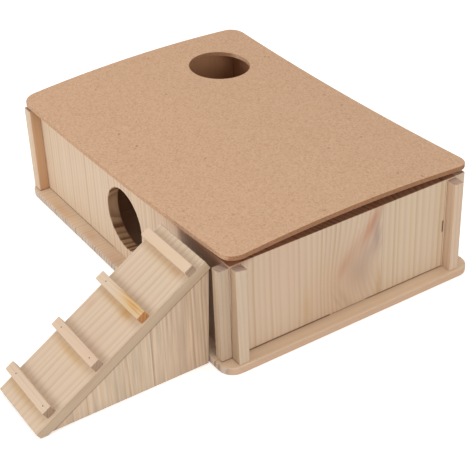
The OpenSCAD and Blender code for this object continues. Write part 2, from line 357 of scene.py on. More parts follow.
# %% [markdown]
# ## Cork lid
#
# The lid is a thin sheet of pressed cork, warped into a saddle: its front and back edges are lower than
# its middle, and its ends are higher. The sheet's height is a formula of the place on it, so many rings
# between the hole and the edge let the mesh follow the curve.
# %% Cork lid
LID_SIZE = np.array([306, 217]) * MM
LID_THICK = 4 * MM
LID_CORNER = 12 * MM
LID_EASE = 0.5 * MM
LID_ARCH, LID_DIP = 4.8 * MM, 4 * MM
LID_MIDDLE = np.array([-2.3, 2.5]) * MM
LID_TURN, WARP_TURN = math.radians(1.3), math.radians(-4.5)
ROOF_HOLE = np.array([-96.5, 52.5]) * MM
ROOF_RADIUS = 26 * MM
LID_STEP, LID_RINGS = 5 * MM, 36


def turn_flat(points, angle):
    """Turns the first two coordinates about the origin: (x cos a - y sin a, x sin a + y cos a)."""
    turned = points.copy()
    turned[..., 0] = points[..., 0] * math.cos(angle) - points[..., 1] * math.sin(angle)
    turned[..., 1] = points[..., 0] * math.sin(angle) + points[..., 1] * math.cos(angle)
    return turned


def saddle(points):
    """Height of the warped sheet: dip (x / half length) squared - arch (y / half width) squared."""
    along = turn_flat(points, -WARP_TURN) / (LID_SIZE.tolist() + [1]) * 2
    return LID_DIP * along[..., 0] ** 2 - LID_ARCH * along[..., 1] ** 2


half = LID_SIZE / 2
lid_points, lid_normals = outline([-half, [half[0], -half[1]], half, [-half[0], half[1]]], LID_CORNER,
                                  LID_STEP)
rings = holed_rings(lid_points, lid_normals, ROOF_HOLE, ROOF_RADIUS, LID_THICK, LID_EASE, LID_RINGS)
rings[..., 2] += saddle(rings)
rings = turn_flat(rings, LID_TURN)
rings[..., :2] += LID_MIDDLE
rings[..., 2] += corners_of("cork_lid")[1][2] - rings[..., 2].max()
lid = finish_piece(closed_mesh("lid_sheet", rings, tyre=True), "lid", "cork", "cork_lid")
print("lid:", len(lid.data.polygons), "faces, lowest point, mm:", round(rings[..., 2].min() / MM, 2))

# %% [markdown]
# ## Ramp
#
# The ramp board's foot is trimmed flat where it meets the ground. It is drawn as a side view and then
# given its width.
# %% Ramp board
SLOPE = math.radians(31.7)
RAMP_THICK = 8.5 * MM
RAMP_EASE = 0.6 * MM
FOOT_CUT = 2.5 * MM
ramp_lo, ramp_hi = corners_of("ramp_board")
UP_SLOPE = np.array([math.cos(SLOPE), math.sin(SLOPE)])
OUT_OF_SLOPE = np.array([-math.sin(SLOPE), math.cos(SLOPE)])

board_top = np.array([ramp_hi[1], ramp_hi[2]]) - [0, RAMP_THICK * OUT_OF_SLOPE[1]]
board_low = board_top - UP_SLOPE * (board_top[1] + FOOT_CUT) / UP_SLOPE[1]
foot_back = board_top - UP_SLOPE * board_top[1] / UP_SLOPE[1]
foot_front = board_low + OUT_OF_SLOPE * FOOT_CUT / OUT_OF_SLOPE[1]
side_view = [foot_front, foot_back, board_top, board_top + RAMP_THICK * OUT_OF_SLOPE,
             board_low + RAMP_THICK * OUT_OF_SLOPE]
ramp_board = board("ramp_plank", "ramp_board", "x", outline(side_view, least_corner(RAMP_EASE), 2 * MM),
                   RAMP_EASE, "ramp", "pine_ramp")
print("ramp board, mm along the slope:", round(np.linalg.norm(board_top - board_low) / MM, 1))

# %% [markdown]
# ## The ramp's side panels
#
# The two panels are long triangles with blunt tips, because sharp ones would break off. Their back edges
# lean, to end flush with the board's top end.
# %% Side panels
PANEL_EASE = 0.5 * MM
PANEL_TIP = 1.5 * MM
PANEL_LEAN = 4.2 * MM
ramp_panels = {}
for side in ("left", "right"):
    low, high = corners_of(f"ramp_panel_{side}")
    side_view = [[low[1], 0], [high[1] - PANEL_LEAN, 0], high[1:], [low[1], PANEL_TIP]]
    ramp_panels[side] = board(f"ramp_side_{side}", f"ramp_panel_{side}", "x",
                              outline(side_view, least_corner(PANEL_EASE)), PANEL_EASE, "ramp", "pine_ramp")
print("side panels:", list(ramp_panels))

# %% [markdown]
# ## Cleats
#
# Four small strips across the board give the feet a hold. Each is a bar with eased long edges, laid on the
# slope and nailed with two brads.
# %% Cleats
CLEAT_WIDTH, CLEAT_HEIGHT = 7.5 * MM, 6.3 * MM
CLEAT_EDGE, CLEAT_EASE = 0.6 * MM, 0.3 * MM


def cleat_middle(node):
    """Middle of a cleat in the side view: its box's middle, because a box of any turned bar is centred."""
    low, high = corners_of(node)
    return (low + high)[1:] / 2


cleats = {}
for number in range(1, 5):
    node = f"ramp_cleat_{number}"
    along, out = UP_SLOPE * CLEAT_WIDTH / 2, OUT_OF_SLOPE * CLEAT_HEIGHT / 2
    middle = cleat_middle(node)
    side_view = [middle - along - out, middle + along - out, middle + along + out, middle - along + out]
    cleats[node] = board(f"cleat_{number}", node, "x", outline(side_view, CLEAT_EDGE), CLEAT_EASE,
                         "ramp", "pine_batten")
print("cleats:", list(cleats))

# %% [markdown]
# ## Brads
#
# The brads are thin wire nails. Only their ends show: a small dark dot on a cleat or under the base. Each
# is a profile of radius and depth, turned about its axis, with a slightly domed end.
# %% Brads
BRAD_RADIUS = 0.6 * MM
BRAD_DOME = 0.05 * MM
BRAD_SIDES = 12


def brad_points(head, direction, length):
    """Rings of a brad: head + direction * depth + radius * (cos b, sin b), from the tip to the dome."""
    direction = direction / np.linalg.norm(direction)
    side = np.cross(direction, [1.0, 0.2, 0.1])
    side /= np.linalg.norm(side)
    other = np.cross(side, direction)
    radii = BRAD_RADIUS * np.array([0.1, 1, 1, 0.8, 0.3])
    depths = np.array([length, length - 3 * BRAD_RADIUS, 0, -0.6 * BRAD_DOME, -BRAD_DOME])
    b = np.linspace(0, 2 * math.pi, BRAD_SIDES + 1)[:-1]
    ring = np.cos(b)[:, None] * side + np.sin(b)[:, None] * other
    return head + depths[:, None, None] * direction + radii[:, None, None] * ring


def brads(name, heads, direction, length, body, node):
    """Equal brads as one mesh: a closed grid for each, its faces numbered on from the points before it."""
    points, faces = [], []
    for head in heads:
        brad, quads = closed_grid(brad_points(head, direction, length))
        faces += [[v + len(points) for v in face] for face in quads]
        points += brad.tolist()
    return finish_piece(new_piece(name, np.array(points), faces), body, "brad_steel", node)

# %% [markdown]
# ## The ramp's brads
#
# Each cleat is nailed through the board into both side panels. Three of the brads were punched below the
# wood, which has closed over them, so they start one millimetre deep.
# %% Brads of the ramp
RAMP_BRAD_OFF, RAMP_BRAD_LENGTH = 20.5 * MM, 20 * MM
PUNCHED = 1 * MM
PUNCHED_BRADS = [("ramp_cleat_1", -1), ("ramp_cleat_1", 1), ("ramp_cleat_2", 1)]
ramp_middle = (ramp_lo[0] + ramp_hi[0]) / 2
into_slope = np.array([0, *-OUT_OF_SLOPE])
heads = []
for node in cleats:
    for side in (-1, 1):
        depth = PUNCHED if (node, side) in PUNCHED_BRADS else 0
        y, z = cleat_middle(node) + OUT_OF_SLOPE * (CLEAT_HEIGHT / 2 - depth)
        heads.append(np.array([ramp_middle + side * RAMP_BRAD_OFF, y, z]))
ramp_nails = brads("ramp_nails", heads, into_slope, RAMP_BRAD_LENGTH, "ramp", "ramp_brads")
print("ramp brads:", len(heads))

# %% [markdown]
# ## The base's brads
#
# The walls are nailed from below: four brads into each long wall and two into each short one. The brads of
# the corners are hidden under the strips, so their CAD piece stays as it is and only gets its steel later.
# %% Brads of the base
HALF_WALL, BASE_BRAD_LENGTH = 4.5 * MM, 17 * MM
LONG_WALL_BRADS = 4
long_spacing = (np.arange(LONG_WALL_BRADS) + 0.5) / LONG_WALL_BRADS
base_heads = [np.array([x, y, 0]) for y in (front_lo[1] + HALF_WALL, -front_lo[1] - HALF_WALL)
              for x in front_lo[0] + (front_hi[0] - front_lo[0]) * long_spacing]
base_heads += [np.array([x, y, 0]) for x in (front_lo[0] + HALF_WALL, front_hi[0] - HALF_WALL)
               for y in (front_lo[1] / 2, -front_lo[1] / 2)]
base_nails = brads("base_nails", base_heads, np.array([0, 0, 1.0]), BASE_BRAD_LENGTH,
                   "house", "base_brads")
print("base brads:", len(base_heads))

# %% [markdown]
# ## Arithmetic on a surface
#
# A procedural material is a formula of the place on the piece. Wired by hand, even a short formula is
# long, so this small class wraps a node's output and gives it plus, minus, times and divide.
# %% Fields: formulas made of nodes
class Field:
    """A number that varies over a surface: a node's output, with everyday arithmetic."""

    def __init__(self, socket):
        self.socket = socket
        self.tree = socket.id_data

    def __add__(self, other):
        return calc("ADD", self, other)

    def __sub__(self, other):
        return calc("SUBTRACT", self, other)

    def __rsub__(self, other):
        return calc("SUBTRACT", other, self)

    def __mul__(self, other):
        return calc("MULTIPLY", self, other)

    def __truediv__(self, other):
        return calc("DIVIDE", self, other)

    __radd__ = __add__
    __rmul__ = __mul__


def feed(node, inputs):
    """Wires fields into a node's inputs, by their names or numbers, and sets plain values there."""
    for slot, value in inputs.items():
        if isinstance(value, Field):
            value.tree.links.new(value.socket, node.inputs[slot])
        else:
            node.inputs[slot].default_value = value


def new_node(tree, kind, inputs, output=0, **settings):
    """The output of a new node, whose settings are made first and whose inputs are then fed."""
    node = tree.nodes.new("ShaderNode" + kind)
    for setting, value in settings.items():
        setattr(node, setting, value)
    feed(node, inputs)
    return Field(node.outputs[output])


def calc(operation, *values):
    """One Math node, such as ADD, SQRT or GREATER_THAN, on fields and numbers."""
    tree = next(value.tree for value in values if isinstance(value, Field))
    return new_node(tree, "Math", dict(enumerate(values)), operation=operation)

# %% [markdown]
# ## Steps, bumps and noise
#
# A smooth step says where something begins, and a bump marks one place. Noise is random but smooth, and
# dice jump from one whole number to the next, as one year's wood differs from the next year's.
# %% Steps, bumps and noise
def rise(x, start, end):
    """0 below start, 1 above end, and a smooth step between them."""
    return new_node(x.tree, "MapRange", {0: x, 1: start, 2: end}, interpolation_type="SMOOTHSTEP")


def bump_at(x, middle, width):
    """1 at middle, falling smoothly to 0 on both sides: exp(-((x - middle) / width) squared)."""
    off = (x - middle) / width
    return calc("EXPONENT", off * off * -1.0)


def noise(x, y, z, detail=2.0, rough=0.5):
    """Perlin noise about 0, from roughly -0.5 to 0.5, of a place given as three fields."""
    place = new_node(x.tree, "CombineXYZ", {0: x, 1: y, 2: z})
    pattern = {"Vector": place, "Scale": 1.0, "Detail": detail, "Roughness": rough}
    return new_node(x.tree, "TexNoise", pattern) - 0.5


def dice(x):
    """A random number from 0 to 1 for each whole number x."""
    return new_node(x.tree, "TexWhiteNoise", {"W": x}, "Value", noise_dimensions="1D")

# %% [markdown]
# ## Colours
#
# Colours are picked as a screen shows them, but light adds up only in linear numbers, so each colour is
# turned into those once.
# %% Colours
def mix(colour, other, share):
    """A colour between two colours, by a share from 0 to 1."""
    return new_node(share.tree, "Mix", {0: share, 6: colour, 7: other}, 2, data_type="RGBA")


def shade(colour, brightness):
    """A colour times a brightness."""
    return new_node(brightness.tree, "VectorMath", {0: colour, "Scale": brightness}, operation="SCALE")


def srgb(red, green, blue):
    """A screen colour, 0 to 255, in Blender's linear light: ((c + 0.055) / 1.055) ** 2.4."""
    parts = [c / 255 for c in (red, green, blue)]
    return (*[c / 12.92 if c < 0.04 else ((c + 0.055) / 1.055) ** 2.4 for c in parts], 1.0)

# %% [markdown]
# ## Starting a material
#
# Every pattern here is solid: it fills space, and a piece cuts it open, as a saw does with a real plank.
# So one formula gives long grain on a face and end grain on an end. Object coordinates are metres in the
# row's own axes, because every piece lies at the origin.
# %% A material and its coordinates
def new_material(name, slope=0.0):
    """A material, its shader, the place on the piece and the direction its surface faces.

    The place is turned back about X by the slope, so that a sloping board's length lies along Y.
    """
    material = bpy.data.materials.new(name)
    material.use_nodes = True
    tree = material.node_tree
    shader = tree.nodes["Principled BSDF"]
    fields = []
    for output in ("Object", "Normal"):
        turn = {"Vector": new_node(tree, "TexCoord", {}, output), "Rotation": (-slope, 0, 0)}
        turned = new_node(tree, "Mapping", turn, vector_type="POINT")
        split = new_node(tree, "SeparateXYZ", {0: turned}).socket.node
        fields.append(dict(zip("xyz", map(Field, split.outputs))))
    return material, shader, *fields


def give_bump(shader, height, distance):
    """Lets a field from 0 to 1 raise the surface by up to distance."""
    bump = new_node(height.tree, "Bump", {"Height": height, "Distance": distance})
    feed(shader, {"Normal": bump})


def wear(piece, material):
    """Gives a piece its one material."""
    piece.data.materials.clear()
    piece.data.materials.append(material)

# %% [markdown]
# ## Pine
#
# A log is a stack of yearly cones round its pith: wide pale spring wood, then a thin darker line of summer
# wood that ends sharply. A plank's look depends on where in the log it was sawn, so each plank here has a
# pith somewhere beside it and behind it. Fine fibres run along the grain. Sawn ends drink light, so end
# grain is darker. The faces inside the cabin, and some side faces, get painted shade.
# %% Pine colours
SPRING = srgb(226, 203, 177)
SUMMER, SUMMER_SHARE = srgb(192, 156, 117), 0.60
PINK, PINK_SHARE = srgb(216, 178, 151), 0.55
YELLOW, YELLOW_SHARE = srgb(220, 192, 150), 0.5
END_PALE, END_DARK = srgb(186, 152, 124), srgb(112, 72, 46)
# End grain of the walls' tops, made darker as painted shade under the lid.
SHADED_TOP_PALE, SHADED_TOP_DARK = srgb(160, 102, 68), srgb(90, 42, 22)
# Cut end grain in the entry hole, made paler as painted light in its shaded reveal.
BORE_PALE, BORE_DARK = srgb(208, 168, 128), srgb(132, 88, 58)
END_SHARE = 0.85
# Painted shade on the walls' inner faces, inside the cabin.
INSIDE_SHADE, INSIDE_SHADE_SHARE = srgb(190, 128, 82), 0.8
# Dark joints, and the painted shadow line below the ramp board's overhang.
JOINT_AND_SHADOW_DARK = srgb(96, 54, 22)

# %% [markdown]
# ## Planks, spots and joints
#
# Three formulas make a board look like that board and no other: planks side by side, soft spots of another
# colour, some stains and some painted shade, and thin dark lines, at joints and as a painted shadow. Their
# tables below, and those of the knots, hold millimetres, and the formulas turn them into metres.
# %% Planks, spots and joints
def by_plank(u, seams, values, unit=MM):
    """The value of the plank that u lies in: the first value plus the change at every seam passed."""
    result = u * 0.0 + values[0] * unit
    for seam, before, after in zip(seams, values, values[1:]):
        result = result + calc("GREATER_THAN", u, seam * MM) * ((after - before) * unit)
    return result


def spot(u, g, middle, size, lean=0.0):
    """1 at the middle of a soft oval, falling to 0: exp(-(du / a)^2 - (dg / b)^2).

    The middle and the size are pairs, across and along the grain. With a lean, du grows with dg.
    """
    dg = g - middle[1] * MM
    du = (u - middle[0] * MM - dg * lean) / (size[0] * MM)
    dg = dg / (size[1] * MM)
    return calc("EXPONENT", (du * du + dg * dg) * -1.0)


LINE_FADE = 2 * MM


def line_mask(u, g, start, end, width):
    """1 on the straight stretch from start to end, falling to 0 beside it and at its ends.

    With t = (p - start) . d and s = (p - start) x d, d the stretch's direction, it is exp(-(s / width)^2)
    where t lies between 0 and the stretch's length.
    """
    length = math.dist(start, end) * MM
    along = [(b - a) * MM / length for a, b in zip(start, end)]
    du, dg = u - start[0] * MM, g - start[1] * MM
    t = du * along[0] + dg * along[1]
    beside = du * along[1] - dg * along[0]
    ends = rise(t, 0.0, LINE_FADE) * (1.0 - rise(t, length - LINE_FADE, length))
    return bump_at(beside, 0.0, width * MM) * ends

# %% [markdown]
# ## Year lines
#
# A year's fraction runs from 0 to 1 over each ring, like a clock, and the summer line is where it is
# late. No log grows quite straight or evenly, so noise moves the pith about and widens some years, and
# dice make each line fainter or stronger.
# %% Year lines
WANDER, WANDER_BY = (14, 5), 12 * MM
WOBBLE, WOBBLE_BY = (60, 14), 2.2 * MM
UNEVEN_CYCLES, UNEVEN_YEARS = 60, 2.6
SUMMER_START, SUMMER_END = (0.25, 0.88), (0.90, 1.0)
FAINTEST_LINE = 0.35
KNOT_CALM = 0.6


def grain_noise(u, w, g, cycles, detail=2.0, rough=0.5):
    """Noise stretched along the grain: cycles is how many a metre holds across it and along it."""
    across, along = cycles
    return noise(u * across, w * across, g * along, detail, rough)


def summer_wood(u, w, g, planks, seams, sway, knots):
    """How much summer wood a place has, from 0 to 1, and the warmth of its plank.

    The year is the distance to the pith, sqrt(u^2 + w^2), plus a little wander, over the ring's width.
    Its fraction gives the summer line. A knot, given as its middle, its size, its push and its plank's
    edge, pushes the years outwards round it, and so bends the grain and blurs it, up to that edge.
    """
    *lengths, warmths = zip(*planks)
    pith_u, pith_w, ring = (by_plank(u, seams, column) for column in lengths)
    heat = by_plank(u, seams, warmths, unit=1.0)
    wander = grain_noise(u, w, g, WANDER, detail=1.0) * (WANDER_BY * sway)
    wobble = grain_noise(u, w, g, WOBBLE) * (WOBBLE_BY * sway)
    du, dw, calm = u - pith_u + wander, w - pith_w, 1.0
    for middle, size, push, edge in knots:
        bulge = spot(u, g, middle, size) * (1.0 - calc("GREATER_THAN", u, edge * MM))
        du, calm = du + bulge * (push * MM), calm - bulge * KNOT_CALM
    reach = calc("SQRT", du * du + dw * dw) + wobble
    year = reach / ring + noise(reach * UNEVEN_CYCLES, heat * 9, heat) * UNEVEN_YEARS
    part = calc("FRACT", year)
    luck = dice(calc("FLOOR", year))
    strength = luck * luck * (1 - FAINTEST_LINE) + FAINTEST_LINE
    return rise(part, *SUMMER_START) * (1.0 - rise(part, *SUMMER_END)) * strength * calm, heat

# %% [markdown]
# ## The pine formula
#
# One function makes every pine material. What differs between pieces is passed in: the pith, the strength
# of lines and fibres, and the piece's spots, knots and joints.
# %% Pine, the material
FIBRE, FUZZ, STREAK, CLOUD = (1500, 40), (420, 20), (230, 5), (18, 7)
BORE_RIM = (0.3 * MM, 0.7 * MM)


def pine(name, grain, across, planks, seams=(), slope=0.0, lines=1.0, fibres=1.0, tone=1.0, pinkness=0.0,
         sway=1.0, fuzz=0.0, knots=(), spots=(), joints=(), rough=None, bore=None,
         ends=(END_PALE, END_DARK)):
    """Solid pine with its grain along one axis and its planks side by side along another.

    planks gives each plank's pith, how far across and how deep, then the width of a ring and its warmth.
    Spots hold stains and painted shade; each is its middle, size, lean, tint and share. Dark lines hold
    joints and a painted shadow; each is its start, end, width and share.
    lines and fibres say how strongly both show, sway how crooked the lines are, and fuzz how hairy the
    sawn face is. rough is a face with painted shade, a tint of its own: its axis, its sign, the tint and
    its share.
    bore is a round hole that shows the years cut across, paler as painted light: its middle and its radius,
    in metres.
    """
    material, shader, place, facing = new_material(name, slope)
    through = ({"x", "y", "z"} - {grain, across}).pop()
    u, w, g = place[across], place[through], place[grain]
    summer, heat = summer_wood(u, w, g, planks, seams, sway, knots)
    fibre = grain_noise(u, w, g, FIBRE, detail=3.0, rough=0.6)
    streak = grain_noise(u, w, g, STREAK)
    cloud = grain_noise(u, w, g, CLOUD)

    colour = mix(SPRING, SUMMER, summer * (SUMMER_SHARE * lines) + 0.05)
    colour = mix(colour, PINK, rise(cloud * 0.8 + heat + pinkness, 0.0, 0.5) * PINK_SHARE)
    colour = mix(colour, YELLOW, rise(streak * 0.9 - heat - pinkness * 0.5, 0.0, 0.6) * YELLOW_SHARE)
    for middle, size, lean, tint, share in spots:
        colour = mix(colour, tint, spot(u, g, middle, size, lean) * share)
    end = rise(calc("ABSOLUTE", facing[grain]), 0.35, 0.75)
    colour = mix(colour, mix(*ends, summer * 0.9 + streak * 0.6 + 0.15), end * END_SHARE)
    if rough:
        axis, sign, tint, share = rough
        colour = mix(colour, tint, rise(facing[axis] * sign, 0.5, 0.9) * share)
    if bore:
        middle, radius = bore
        du, dg = u - middle[0], g - middle[1]
        outside = rise(calc("SQRT", du * du + dg * dg), radius + BORE_RIM[0], radius + BORE_RIM[1])
        cut = mix(BORE_PALE, BORE_DARK, summer * 1.6 + streak * 0.8)
        colour = mix(colour, cut, (1.0 - outside) * END_SHARE)
    for start, stop, width, share in joints:
        colour = mix(colour, JOINT_AND_SHADOW_DARK, line_mask(u, g, start, stop, width) * share)
    light = fibre * (0.07 * fibres) + streak * (0.09 * fibres) + cloud * 0.07 + tone
    if fuzz:
        light = light + grain_noise(u, w, g, FUZZ) * fuzz
    feed(shader, {"Base Color": shade(colour, light), "Roughness": fibre * 0.2 + 0.62,
                  "Specular IOR Level": 0.30})
    give_bump(shader, fibre + summer * 0.5 + end * fibre, 0.04 * MM)
    return material


print("fibres are about, mm:", round(1 / FIBRE[0] / MM, 1), "wide")

# %% [markdown]
# ## The base
#
# The base is glued from three wide planks. Its end grain was sanded, so it is paler than the walls', and
# a few brown stains lie along its front edge. The ledge beside the right wall and the base's right side
# face are darkened with painted shade.
# %% Pine of the base
base_stains_and_shade = [
    ((-52, -107), (10, 4), 0.0, srgb(188, 138, 96), 0.30),
    ((-102, -108), (20, 5), 0.0, srgb(204, 160, 112), 0.45),
    ((-8, -108), (10, 6), 0.0, srgb(206, 154, 118), 0.30),
    # Painted shade along the whole ledge beside the right wall.
    ((154, 0), (12, 250), 0.0, srgb(196, 156, 118), 0.30),
]
wear(base, pine("base_pine", grain="y", across="x", tone=1.08, lines=0.7, sway=0.6, spots=base_stains_and_shade,
                planks=[(-340, -50, 4.4, 0.0), (-200, 60, 4.0, 0.05), (400, -50, 6.0, 0.0)],
                seams=(-55, 45), ends=(srgb(206, 190, 176), srgb(140, 108, 82)),
                # rough here is painted shade on the base's right side face.
                rough=("x", 1.0, srgb(196, 158, 130), 0.6)))
print("stains on the base:", len(base_stains_and_shade))

# %% [markdown]
# ## The front wall
#
# All walls have upright grain and dark end grain at the top, made darker still as painted shade under
# the lid, and painted shade on their inner faces. On the front wall, brown painted shade lies beside the
# right strip and under the lid's front edge, and gives the dark gap behind the ramp its colour.
# %% Pine of the front wall
# Brown painted shade for the slot behind the ramp's top and the gaps by the strips under the lid.
PAINTED_SHADE_BROWN = srgb(158, 100, 64)


def wall_pine(side, across, inside, **look):
    """Gives a wall its pine, with painted shade on its inner face. inside is the axis and the sign of the
    way that face looks.
    """
    wear(walls[side], pine(f"{side}_pine", grain="z", across=across, ends=(SHADED_TOP_PALE, SHADED_TOP_DARK),
                           rough=(*inside, INSIDE_SHADE, INSIDE_SHADE_SHARE), **look))


wall_pine("front", "x", ("y", 1.0), tone=0.985, lines=1.0, sway=0.6,
          bore=(entry_centre[::-1], ENTRY_RADIUS),
          planks=[(-400, -120, 4.4, 0.10), (-360, -50, 4.8, 0.05), (300, -120, 4.0, 0.15)],
          seams=(-75, 48), joints=[((-139, 6.4), (-24, 6.4), 0.5, 0.85)],
          # Both spots are painted shade: the slot behind the ramp's top under the lid, and the gap beside
          # the right strip.
          spots=[((112, 86), (42, 14), 0.0, PAINTED_SHADE_BROWN, 0.80), ((131.5, 40), (6, 60), 0.0, PAINTED_SHADE_BROWN, 0.60)])

# %% [markdown]
# ## The right wall
#
# This wall shows the most character. One of its planks holds a knot just under the surface: the grain
# bulges round it, a salmon streak rises beside it, and the wood in its lee is grey and mauve. The next
# plank is straighter and more yellow. A dark line runs along the wall's foot, where the joint to the base
# stands a little open.
# %% Pine of the right wall
SALMON = srgb(196, 136, 106)
MAUVE = srgb(168, 142, 132)
GREY = srgb(178, 149, 130)
STRAW = srgb(206, 168, 122)
RIGHT_SEAM = 32
right_spots = [
    ((21.5, 70), (5, 16), 0.50, SALMON, 0.75),
    ((3.5, 52), (5.5, 16), 0.55, SALMON, 0.35),
    ((-3, 17), (3, 11), -0.55, GREY, 0.45),
    ((-9, 16), (1.6, 8), -0.55, GREY, 0.40),
    ((-4, 43), (3.5, 9), 0.30, SALMON, 0.45),
    ((26.5, 60), (3.5, 13), 0.0, MAUVE, 0.65),
    ((20, 48), (8, 12), 0.3, MAUVE, 0.40),
    ((10, 34), (12, 16), -0.2, GREY, 0.60),
    ((-10, 30), (30, 40), 0.0, srgb(206, 162, 128), 0.45),
    # Painted shade at the wall's top, under the lid's near corner.
    ((-96, 84), (12, 3), 0.0, PAINTED_SHADE_BROWN, 0.80),
    ((29.5, 13), (2.5, 18), 0.0, STRAW, 0.75),
    ((-36, 20), (4, 18), 0.0, STRAW, 0.50),
]
right_joints = [
    ((-91, 6.6), (-14.2, 6.6), 0.7, 1.0),
    ((-14.2, 6.6), (16.3, 6.6), 0.4, 0.45),
    ((16.3, 6.6), (91.3, 6.6), 0.5, 0.90),
    ((90.2, 37), (90.2, 49), 0.9, 1.0),
    ((91.2, 5), (91.2, 39), 0.5, 0.6),
    ((RIGHT_SEAM, 6), (RIGHT_SEAM, 90), 0.4, 0.22),
]
wall_pine("right", "y", ("x", -1.0), tone=0.94, lines=0.95, sway=0.6,
          planks=[(-360, 200, 4.4, 0.0), (-340, 240, 4.4, 0.10), (340, 220, 5.2, -0.15)],
          seams=(-88, RIGHT_SEAM), knots=[((18, 36), (30, 30), 13, RIGHT_SEAM)],
          spots=right_spots, joints=right_joints)

# %% [markdown]
# ## The back and the left wall
#
# The photo shows neither from outside, so they are plainer: fainter lines, and no knot or stain.
# %% Pine of the back and left walls
wall_pine("back", "x", ("y", -1.0), tone=0.96, lines=0.75, sway=0.5, seams=(-60, 50),
          planks=[(-400, 50, 4.4, 0.1), (160, 160, 4.0, -0.1), (-220, 50, 4.8, 0.0)])
wall_pine("left", "y", ("x", 1.0), tone=0.96, lines=0.75, sway=0.5, seams=(10,),
          planks=[(-320, -100, 4.4, 0.0), (280, -180, 4.2, 0.1)])
print("walls:", [wall.data.materials[0].name for wall in walls.values()])

# %% [markdown]
# ## The strips
#
# The strips are offcuts, so each has a pith and a warmth of its own, drawn from a seeded generator. Four
# of them also have a tone of their own, three show a dark joint at the foot, and two have painted shade
# on one side.
# %% Pine of the strips
STRIP_LOOK = {"tone": 0.93, "pinkness": 0.1}
STRIP_LOOKS = {
    # rough here is painted shade on this strip's right side face.
    "front_strip_left": {"tone": 0.98, "pinkness": 0.20, "rough": ("x", 1.0, srgb(198, 152, 108), 0.70),
                         "joints": [((-151, 6.5), (-138, 6.5), 0.4, 0.8)]},
    "front_strip_right": {"tone": 0.80, "joints": [((144, 6.5), (151, 6.5), 0.4, 0.8)]},
    # rough here is painted shade on the near strip's front side face.
    "right_strip_front": {"tone": 0.875, "rough": ("y", -1.0, srgb(170, 138, 106), 0.6),
                          "joints": [((145.5, 6.5), (157.5, 6.5), 0.4, 0.8)]},
    "right_strip_back": {"tone": 0.98, "pinkness": 0.45},
}
rng = np.random.default_rng(7)
for strip in strips.values():
    pith = rng.uniform(-50, 50, 2)
    wear(strip, pine(f"{strip.name}_pine", grain="z", across="x", lines=0.7,
                     planks=[(pith[0], pith[1] + 200, 3.0, rng.uniform(-0.1, 0.1))],
                     ends=(srgb(196, 166, 148), srgb(150, 118, 98)),
                     **(STRIP_LOOK | STRIP_LOOKS.get(strip.name, {}))))
print("strips with a look of their own:", len(STRIP_LOOKS))

# %% [markdown]
# ## The cleats
#
# The second cleat is full of resin: honey all through, with amber streaks. The others are pale, and the
# lower two are pinker.
# %% Pine of the cleats
AMBER = srgb(202, 136, 60)
# Resin's honey colour. On the ramp board it also serves as painted shade beside the cleats.
HONEY_AND_SHADE = srgb(216, 176, 112)
CLEAT_ENDS = (srgb(176, 146, 122), srgb(136, 104, 80))
RESIN_ENDS = (srgb(200, 132, 66), srgb(150, 84, 36))
CLEAT_LOOKS = {
    "cleat_1": {"tone": 0.98, "pinkness": 0.15, "spots": [((-62, 112), (1.2, 18), 0.10, YELLOW, 0.6)]},
    "cleat_2": {"tone": 0.93, "pinkness": 0.0, "ends": RESIN_ENDS,
                "spots": [((-103, 125), (6, 17), 0.0, HONEY_AND_SHADE, 0.85),
                          ((-101.2, 118), (0.6, 15), 0.08, AMBER, 0.75),
                          ((-103.4, 125), (0.6, 12), 0.05, AMBER, 0.75),
                          ((-105.2, 128), (0.5, 9), 0.00, AMBER, 0.65)]},
    "cleat_3": {"tone": 0.95, "pinkness": 0.4},
    "cleat_4": {"tone": 0.93, "pinkness": 0.3},
}
for cleat in cleats.values():
    pith = rng.uniform(-50, 50, 2)
    wear(cleat, pine(f"{cleat.name}_pine", grain="x", across="y", slope=SLOPE, lines=0.5, fibres=0.8,
                     planks=[(pith[0], pith[1], 2.2, rng.uniform(-0.1, 0.1))],
                     **({"ends": CLEAT_ENDS} | CLEAT_LOOKS[cleat.name])))
print("cleats with a look of their own:", list(CLEAT_LOOKS))

# %% [markdown]
# ## The ramp board
#
# The ramp board has wide soft year lines and honey-coloured bands beside the cleats, partly stains where
# resin has run down from the cleats and partly painted shade.
# %% Pine of the ramp board
ramp_stains_and_shade = [
    ((118.7, -111), (7, 3.4), 0.0, srgb(206, 154, 74), 0.70),
    # Honey bands along the cleats: resin stain and painted shade.
    ((100, -111), (20, 2.4), 0.0, HONEY_AND_SHADE, 0.50),
    ((106, -67.5), (23, 2.6), 0.0, HONEY_AND_SHADE, 0.35),
    ((125, -68), (6, 4), 0.0, AMBER, 0.25),
    ((105, -156), (20, 3), 0.0, HONEY_AND_SHADE, 0.55),
    ((100, -198), (22, 3), 0.0, HONEY_AND_SHADE, 0.45),
    ((86, -123), (3, 6), 0.0, SALMON, 0.25),
    ((90, -60), (6, 8), 0.0, YELLOW, 0.40),
]
wear(ramp_board, pine("ramp_pine", grain="y", across="x", slope=SLOPE, tone=0.88, lines=0.9, fibres=0.8,
                      # rough here is painted shade on the board's right side face.
                      sway=1.2, spots=ramp_stains_and_shade, rough=("x", 1.0, srgb(196, 168, 138), 0.5),
                      planks=[(-20, 200, 4.6, 0.05)]))
print("ramp stains:", len(ramp_stains_and_shade))

# %% [markdown]
# ## The ramp's sides
#
# The side panels are glued from narrow planks with dense, dark lines. They were sawn and never sanded, so
# their fibres stand up. A painted shadow line runs just below where the board lies on them, and painted
# shade darkens their tall ends by the cabin.
# %% Pine of the ramp's side panels
PANEL_SEAMS = (-209, -157)
